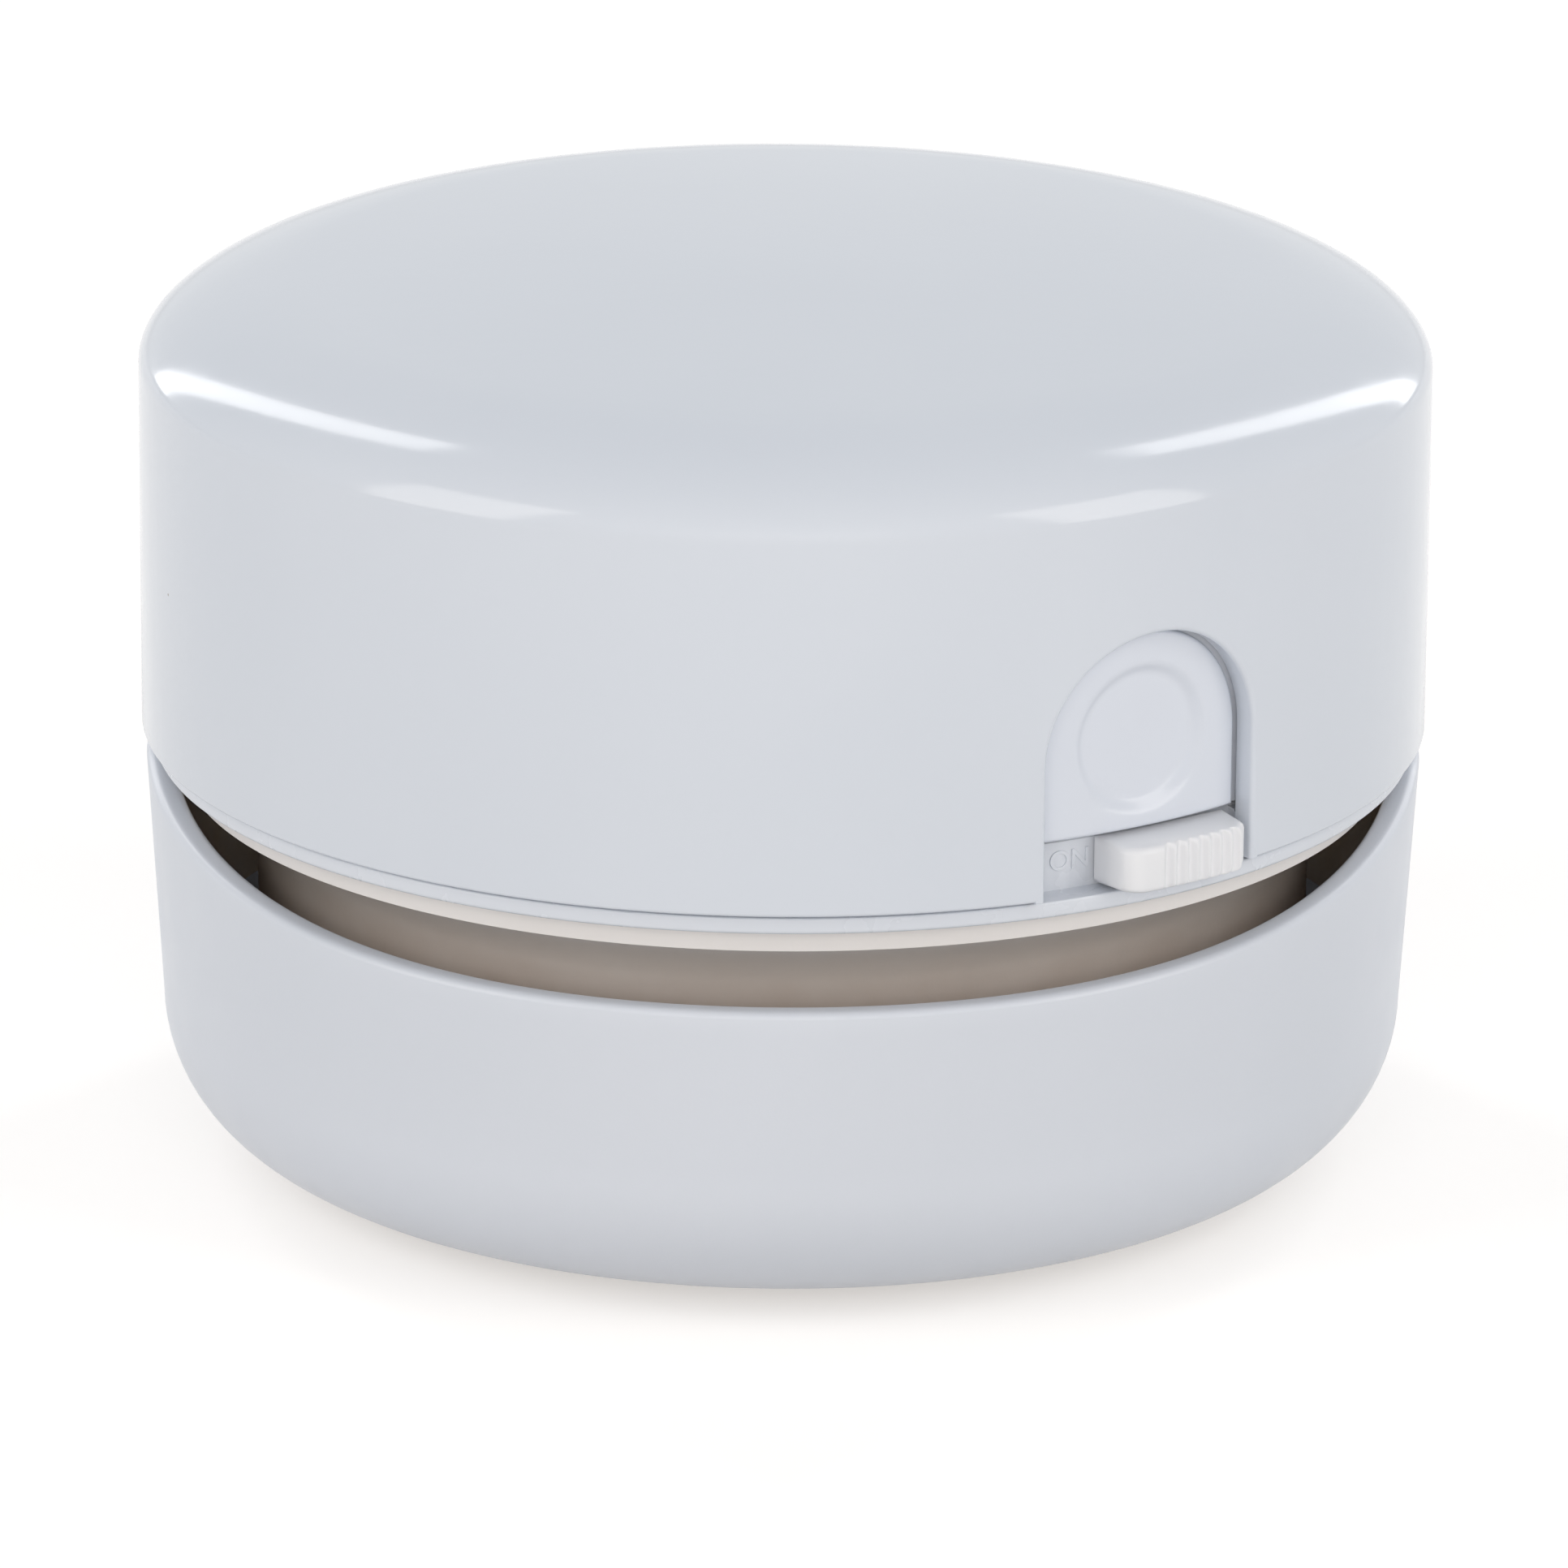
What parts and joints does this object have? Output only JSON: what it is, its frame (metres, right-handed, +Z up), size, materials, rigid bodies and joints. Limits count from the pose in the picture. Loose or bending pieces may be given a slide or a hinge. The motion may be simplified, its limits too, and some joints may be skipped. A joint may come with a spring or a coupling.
{
  "type": "desktop mini vacuum cleaner",
  "caption": "Round cordless desktop vacuum: lift-off dust cup with bristle ring, crescent exhaust gaps, domed cap, push button and slide switch.",
  "frame": {"origin": "middle of the footprint at the level of the bristle tips", "axes": "+Z up, -Y the front with the wider view of the exhaust gap, controls 34 degrees to its right"},
  "size_m": [0.084, 0.084, 0.06],
  "materials": {
    "white_abs": "satin gloss",
    "inner_white_abs": "satin",
    "knob_white": "satin",
    "grey_nylon": "matt",
    "nylon_bristle": "satin",
    "grey_rubber": "matt",
    "filter_cloth": "matt",
    "plated_steel": "satin",
    "brass": "satin",
    "battery_sleeve": "gloss",
    "black_plastic": "satin",
    "red_wire": "satin"
  },
  "bodies": {
    "cup": {"dust_cup": "white_abs", "inlet_insert": "white_abs", "filter_seat": "white_abs", "brush_ring": "white_abs", "bristle_arc_1": "nylon_bristle", "bristle_arc_2": "nylon_bristle", "bristle_arc_3": "nylon_bristle", "bristle_arc_4": "nylon_bristle", "seal_ring": "grey_rubber"},
    "upper_body": {"chassis": "white_abs", "fan_shroud": "inner_white_abs", "filter_frame": "grey_nylon", "filter_disc": "filter_cloth", "shroud_screw_1": "plated_steel", "shroud_screw_2": "plated_steel", "shroud_screw_3": "plated_steel", "motor_can": "plated_steel", "motor_endcap": "inner_white_abs", "motor_terminal_left": "brass", "motor_terminal_right": "brass", "battery_front": "battery_sleeve", "battery_back": "battery_sleeve", "positive_contact": "plated_steel", "negative_contact": "plated_steel", "bridge_contact": "plated_steel", "contact_spring_1": "plated_steel", "contact_spring_2": "plated_steel", "button_spring": "plated_steel", "switch_body": "plated_steel", "wire_motor_to_negative": "black_plastic", "wire_motor_to_switch": "red_wire", "wire_positive_to_switch": "red_wire"},
    "cap": {"top_cap": "white_abs"},
    "button": {"push_button": "white_abs"},
    "switch_slider": {"switch_knob": "knob_white", "switch_lever": "black_plastic"},
    "fan_rotor": {"impeller": "white_abs", "motor_shaft": "plated_steel"}
  },
  "joints": [
    {"name": "body_lift", "type": "slide", "parent": "cup", "child": "upper_body", "axis": [0, 0, 1], "range_m": [0, 0.03]},
    {"name": "cap_lift", "type": "slide", "parent": "upper_body", "child": "cap", "axis": [0, 0, 1], "range_m": [0, 0.03]},
    {"name": "button_press", "type": "slide", "parent": "upper_body", "child": "button", "axis": [-0.5592, 0.829, 0], "range_m": [0, 0.0012], "stiffness_N_per_m": 600, "deforming": ["button_spring"]},
    {"name": "switch_slide", "type": "slide", "parent": "upper_body", "child": "switch_slider", "axis": [-0.829, -0.5592, 0], "range_m": [0, 0.004]},
    {"name": "fan_spin", "type": "hinge", "parent": "upper_body", "child": "fan_rotor", "pos_m": [0, 0, 0.0225], "axis": [0, 0, 1], "continuous": true}
  ]
}
